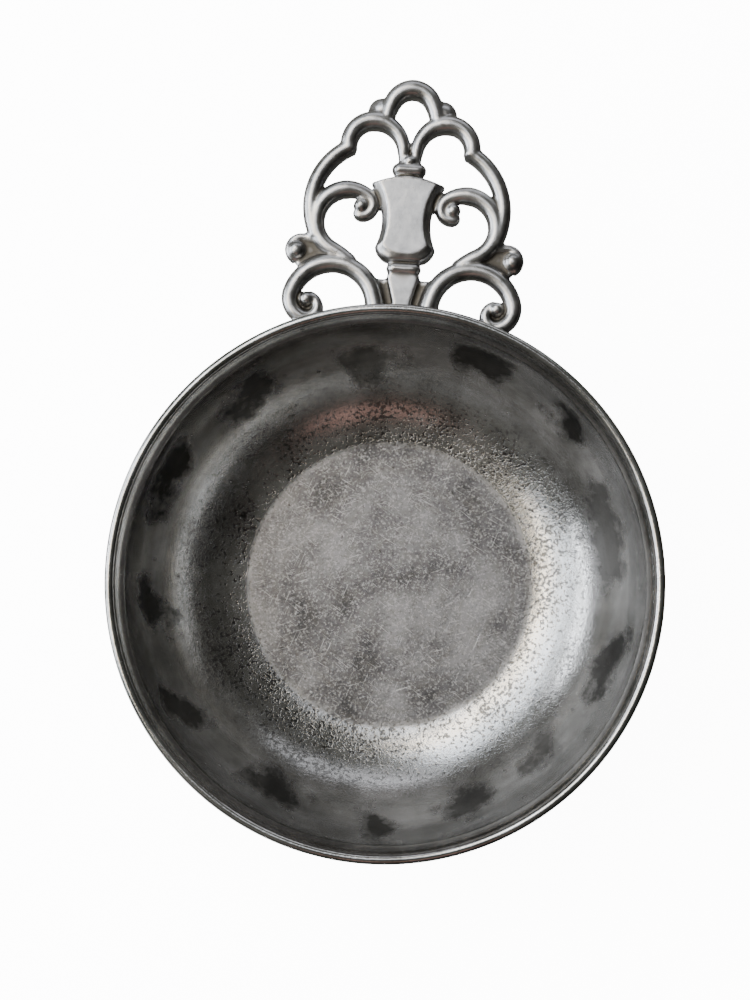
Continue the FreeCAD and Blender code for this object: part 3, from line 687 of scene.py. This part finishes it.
    # Black tarnish in a row of ragged blots high on the wall, about 28 mm apart.
    wander = add(tree, "ShaderNodeTexNoise", {"Vector": where, "Scale": 28.0, "Detail": 1.0})
    share = add(tree, "ShaderNodeMath", {0: angle, 1: BLOTS / math.tau}, operation="MULTIPLY")
    drift = add(tree, "ShaderNodeMath", {
        0: wander.outputs["Fac"], 1: 1.6, 2: share.outputs[0]}, operation="MULTIPLY_ADD")
    number = add(tree, "ShaderNodeMath", {0: drift.outputs[0]}, operation="FLOOR")
    turns = add(tree, "ShaderNodeMath", {0: number.outputs[0], 1: float(BLOTS)}, operation="FLOORED_MODULO")
    chance = add(tree, "ShaderNodeTexWhiteNoise", {"W": turns.outputs[0]}, noise_dimensions="1D")
    part = add(tree, "ShaderNodeMath", {0: drift.outputs[0]}, operation="FRACT")
    aside = add(tree, "ShaderNodeMapRange", {
        "Value": part.outputs[0], "To Min": -1.7, "To Max": 1.7}, clamp=False)
    height = add(tree, "ShaderNodeMapRange", {
        "Value": chance.outputs["Value"], "To Min": 58.0, "To Max": 68.0})
    above = add(tree, "ShaderNodeMath", {0: run, 1: height.outputs[0]}, operation="SUBTRACT")
    upright = add(tree, "ShaderNodeMath", {0: above.outputs[0], 1: 0.13}, operation="MULTIPLY")
    from_middle = add(tree, "ShaderNodeCombineXYZ", {"X": aside.outputs[0], "Y": upright.outputs[0]})
    ragged = add(tree, "ShaderNodeTexNoise", {
        "Vector": where, "Scale": 110.0, "Detail": 6.0, "Roughness": 0.68})
    distance = add(tree, "ShaderNodeVectorMath", {0: from_middle.outputs[0]}, operation="LENGTH")
    border = add(tree, "ShaderNodeMath", {0: ragged.outputs["Fac"], 1: 3.0, 2: distance.outputs["Value"]},
                 operation="MULTIPLY_ADD")
    blot = add(tree, "ShaderNodeMapRange", {
        "Value": border.outputs[0], "From Min": 2.0, "From Max": 2.6, "To Min": 1.0, "To Max": 0.0})
    depth = add(tree, "ShaderNodeMapRange", {"Value": chance.outputs["Value"], "To Min": 0.65, "To Max": 1.0})
    blots = add(tree, "ShaderNodeMath", {
        0: blot.outputs[0], 1: depth.outputs[0]}, operation="MULTIPLY").outputs[0]
    crust = add(tree, "ShaderNodeMix", {
        0: cloudy.outputs[0], 6: colour("#141413"), 7: colour("#3a3936")}, data_type="RGBA").outputs[2]
    shade = add(tree, "ShaderNodeMix", {0: blots, 6: shade, 7: crust}, data_type="RGBA").outputs[2]

    # Dull where worn, spotted or tarnished; smooth up the wall, so that the wall shows the window's shape.
    rough = add(tree, "ShaderNodeMapRange", {"Value": clouds.outputs["Fac"], "To Min": 0.12, "To Max": 0.26})
    rough_worn = add(tree, "ShaderNodeMath", {
        0: worn, 1: 0.03, 2: rough.outputs[0]}, operation="MULTIPLY_ADD")
    rough_floor = add(tree, "ShaderNodeMath", {
        0: floor, 1: 0.24, 2: rough_worn.outputs[0]}, operation="MULTIPLY_ADD")
    rough_spots = add(tree, "ShaderNodeMath", {
        0: spots, 1: 0.2, 2: rough_floor.outputs[0]}, operation="MULTIPLY_ADD")
    rough_blots = add(tree, "ShaderNodeMath", {
        0: blots, 1: 0.25, 2: rough_spots.outputs[0]}, operation="MULTIPLY_ADD")
    # A film on the upper wall scatters some of the window's light.
    dulled = add(tree, "ShaderNodeMapRange", {
        "Value": run, "From Min": 46.0, "From Max": 56.0, "To Max": 0.22})
    clean_lip = add(tree, "ShaderNodeMapRange", {
        "Value": run, "From Min": 78.0, "From Max": 84.0, "To Min": 1.0, "To Max": 0.0})
    filmed = add(tree, "ShaderNodeMath", {
        0: dulled.outputs[0], 1: clean_lip.outputs[0]}, operation="MULTIPLY")
    metal = add(tree, "ShaderNodeMath", {0: floor, 1: -0.28, 2: 1.0}, operation="MULTIPLY_ADD")
    metal_here = add(tree, "ShaderNodeMath", {
        0: metal.outputs[0], 1: filmed.outputs[0]}, operation="SUBTRACT")
    ridged = add(tree, "ShaderNodeMath", {0: rings.outputs["Fac"], 1: 0.5, 2: grain.outputs["Fac"]},
                 operation="MULTIPLY_ADD")
    pushed = add(tree, "ShaderNodeMath", {0: dark_here.outputs[0], 1: -1.2, 2: ridged.outputs[0]},
                 operation="MULTIPLY_ADD")
    carved = add(tree, "ShaderNodeMath", {
        0: scratches, 1: -0.8, 2: pushed.outputs[0]}, operation="MULTIPLY_ADD")
    bump = add(tree, "ShaderNodeBump", {"Height": carved.outputs[0], "Strength": 0.6, "Distance": 0.00006})
    shader = add(tree, "ShaderNodeBsdfPrincipled", {
        "Base Color": shade, "Metallic": metal_here.outputs[0], "Roughness": rough_blots.outputs[0],
        "Normal": bump.outputs[0]})
    add(tree, "ShaderNodeOutputMaterial", {"Surface": shader.outputs[0]})
    return material


def cast_pewter():
    """Cast pewter, mottled, and dark in its hollows with grime and painted shade."""
    material, tree = new_material("aged_cast_pewter")
    where = add(tree, "ShaderNodeTexCoord").outputs["Object"]
    cavity = add(tree, "ShaderNodeAttribute", attribute_name="cavity").outputs["Fac"]

    # Mottled grey skin of the casting, 4 mm.
    mottle = add(tree, "ShaderNodeTexNoise", {
        "Vector": where, "Scale": 260.0, "Detail": 6.0, "Roughness": 0.65})
    mottled = add(tree, "ShaderNodeMapRange", {
        "Value": mottle.outputs["Fac"], "From Min": 0.35, "From Max": 0.65})
    shade = add(tree, "ShaderNodeMix", {
        0: mottled.outputs[0], 6: colour("#8a8a88"), 7: colour("#aaaaa9")}, data_type="RGBA").outputs[2]

    # Grime held in the hollows, with painted shade in the recesses: this outlines every scroll.
    ragged = add(tree, "ShaderNodeMath", {
        0: mottle.outputs["Fac"], 1: 0.12, 2: cavity}, operation="MULTIPLY_ADD")
    grime_and_painted_shade = add(tree, "ShaderNodeMapRange", {
        "Value": ragged.outputs[0], "From Min": 0.06, "From Max": 0.26, "To Max": 0.9}).outputs[0]
    # Dark brown-grey mixed in by hollow depth: grime, and painted shade in the recesses.
    shade = add(tree, "ShaderNodeMix", {
        0: grime_and_painted_shade, 6: shade, 7: colour("#38342b")}, data_type="RGBA").outputs[2]

    # Small casting pits, 0.5 mm, drawn a little larger than life.
    cells = add(tree, "ShaderNodeTexVoronoi", {"Vector": where, "Scale": 700.0, "Randomness": 1.0})
    pits = add(tree, "ShaderNodeMapRange", {
        "Value": cells.outputs["Distance"], "From Min": 0.06, "From Max": 0.13, "To Min": 1.0, "To Max": 0.0})
    chosen = add(tree, "ShaderNodeMapRange", {
        "Value": mottle.outputs["Fac"], "From Min": 0.52, "From Max": 0.6})
    dark = add(tree, "ShaderNodeMath", {
        0: pits.outputs[0], 1: chosen.outputs[0]}, operation="MULTIPLY").outputs[0]
    shade = add(tree, "ShaderNodeMix", {0: dark, 6: shade, 7: colour("#3b3934")}, data_type="RGBA").outputs[2]

    rough = add(tree, "ShaderNodeMapRange", {"Value": mottle.outputs["Fac"], "To Min": 0.22, "To Max": 0.39})
    rough_in_hollows = add(tree, "ShaderNodeMath", {
        0: grime_and_painted_shade, 1: 0.25, 2: rough.outputs[0]}, operation="MULTIPLY_ADD")
    pushed = add(tree, "ShaderNodeMath", {
        0: dark, 1: -0.8, 2: mottle.outputs["Fac"]}, operation="MULTIPLY_ADD")
    bump = add(tree, "ShaderNodeBump", {"Height": pushed.outputs[0], "Strength": 0.5, "Distance": 0.00015})
    shader = add(tree, "ShaderNodeBsdfPrincipled", {
        "Base Color": shade, "Metallic": 1.0, "Roughness": rough_in_hollows.outputs[0], "Normal": bump.outputs[0]})
    add(tree, "ShaderNodeOutputMaterial", {"Surface": shader.outputs[0]})
    return material


def soft_solder():
    """Dull grey solder, lumpy and a little darker than the pewter, which marks the joint."""
    material, tree = new_material("soft_solder")
    where = add(tree, "ShaderNodeTexCoord").outputs["Object"]
    lumps = add(tree, "ShaderNodeTexNoise", {"Vector": where, "Scale": 600.0, "Detail": 4.0})
    shade = add(tree, "ShaderNodeMix", {
        0: lumps.outputs["Fac"], 6: colour("#4c4a46"), 7: colour("#85837e")}, data_type="RGBA")
    bump = add(tree, "ShaderNodeBump", {"Height": lumps.outputs["Fac"], "Strength": 0.6, "Distance": 0.0003})
    shader = add(tree, "ShaderNodeBsdfPrincipled", {
        "Base Color": shade.outputs[2], "Metallic": 1.0, "Roughness": 0.48, "Normal": bump.outputs[0]})
    add(tree, "ShaderNodeOutputMaterial", {"Surface": shader.outputs[0]})
    return material


# ---------------------------------------------------------------- studio

ROLL = math.radians(3.3)
# Camera above the lip, what the frame takes in at the lip, the frame's middle, and the spot under the
# camera: millimetres from the bowl's axis, across and up the frame.
CAMERA_RISE = 355.0
FRAME_HEIGHT = 225.6
FRAME_MIDDLE = (-2.23, 19.0)
NADIR = (9.4, -1.6)
# Metres from the base down to the studio's floor, so that the two don't lie in one plane.
FLOOR_DROP = 0.3 * MM


def make_studio():
    """Pale floor, soft lights, and the camera looking straight down into the bowl."""
    scene = bpy.context.scene
    floor_mesh = bpy.data.meshes.new("floor")
    size = 3.0
    level = -FLOOR_DROP
    corners = [(-size, -size, level), (size, -size, level), (size, size, level), (-size, size, level)]
    floor_mesh.from_pydata(corners, [], [(0, 1, 2, 3)])
    floor = new_piece("floor", floor_mesh)
    material, tree = new_material("studio_floor")
    shader = add(tree, "ShaderNodeBsdfPrincipled", {
        "Base Color": colour("#f4f4f4"), "Roughness": 0.9,
        "Emission Color": colour("#ffffff"), "Emission Strength": 12.0})
    add(tree, "ShaderNodeOutputMaterial", {"Surface": shader.outputs[0]})
    floor_mesh.materials.append(material)
    floor.visible_glossy = False
    floor.visible_diffuse = False

    # The room: light towards the window side and above, dark on the far side.
    world = bpy.data.worlds.new("studio")
    scene.world = world
    world.use_nodes = True
    tree = world.node_tree
    tree.nodes.clear()
    way = add(tree, "ShaderNodeTexCoord").outputs["Generated"]
    towards = add(tree, "ShaderNodeVectorMath", {0: way, 1: (-0.82, 0.36, 0.30)}, operation="DOT_PRODUCT")
    glow = add(tree, "ShaderNodeMapRange", {
        "Value": towards.outputs["Value"], "From Min": -0.75, "From Max": 0.85,
        "To Min": 0.015, "To Max": 0.4})
    # Low down it is never quite dark, so that the outside of the bowl shows from every side.
    tall = add(tree, "ShaderNodeSeparateXYZ", {0: way})
    low_glow = add(tree, "ShaderNodeMapRange", {
        "Value": tall.outputs["Z"], "From Min": 0.0, "From Max": 0.12, "To Min": 0.12, "To Max": 0.0})
    light = add(tree, "ShaderNodeMath", {0: glow.outputs[0], 1: low_glow.outputs[0]}, operation="ADD")
    sky = add(tree, "ShaderNodeBackground", {"Color": colour("#dcdbd3"), "Strength": light.outputs[0]})
    add(tree, "ShaderNodeOutputWorld", {"Surface": sky.outputs[0]})

    lamps = [
        # name, place, aim, size, watts, colour
        ("window", (-0.53, 0.24, 0.70), (0, 0, 0.02), (1.2, 0.36), 9.0, "#eaf2ff"),
        ("window_top", (-0.41, 0.19, 0.92), (0, 0, 0.02), (1.0, 0.16), 7.2, "#ffeed6"),
        ("side_window", (-0.95, 0.05, 0.32), (0, 0, 0.03), (0.8, 0.34), 10.0, "#f2f6ff"),
        ("far_side", (0.10, 0.92, 0.34), (0, 0, 0.03), (0.9, 0.3), 1.8, "#f2f4ff"),
        ("skylight", (-0.14, 0.38, 1.25), (0, 0.06, 0), (0.45, 0.45), 2.5, "#eef3ff"),
        ("sleeve", (0.04, -0.42, 0.44), (0, 0, 0), (0.3, 0.12), 0.12, "#e0a79a"),
    ]
    for name, place, aim, (wide, deep), watts, tint in lamps:
        lamp = bpy.data.lights.new(name, "AREA")
        lamp.shape = "RECTANGLE"
        lamp.size = wide
        lamp.size_y = deep
        lamp.energy = watts
        lamp.color = colour(tint)[:3]
        item = bpy.data.objects.new(name, lamp)
        item.location = place
        item.rotation_mode = "QUATERNION"
        item.rotation_quaternion = (Vector(aim) - Vector(place)).to_track_quat("-Z", "Y")
        scene.collection.objects.link(item)

    camera = bpy.data.objects.new("camera", bpy.data.cameras.new("camera"))
    scene.collection.objects.link(camera)
    scene.camera = camera
    right = Vector((math.cos(ROLL), math.sin(ROLL), 0))
    upward = Vector((-math.sin(ROLL), math.cos(ROLL), 0))
    rim = Vector((0, 0, BOWL_HEIGHT * MM))
    place = rim + (right * NADIR[0] + upward * NADIR[1] + Vector((0, 0, CAMERA_RISE))) * MM
    camera.matrix_world = matrix_from(right, upward, Vector((0, 0, 1)), place)
    camera.data.sensor_width = 36.0
    camera.data.lens = 36.0 * CAMERA_RISE / FRAME_HEIGHT
    camera.data.shift_x = (FRAME_MIDDLE[0] - NADIR[0]) / FRAME_HEIGHT
    camera.data.shift_y = (FRAME_MIDDLE[1] - NADIR[1]) / FRAME_HEIGHT
    camera.data.clip_start = 0.01


def matrix_from(x_axis, y_axis, z_axis, place):
    return Matrix((
        (x_axis[0], y_axis[0], z_axis[0], place[0]),
        (x_axis[1], y_axis[1], z_axis[1], place[1]),
        (x_axis[2], y_axis[2], z_axis[2], place[2]),
        (0, 0, 0, 1)))


bowl = make_bowl(turned_pewter())
handle = make_handle(cast_pewter())
solder_run = make_solder(soft_solder())
for piece, node, slot in ((bowl, "bowl", "turned_pewter"), (handle, "handle", "cast_pewter"),
                          (solder_run, "solder_joint", "soft_solder")):
    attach(piece, "root")
    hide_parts(node)

make_studio()
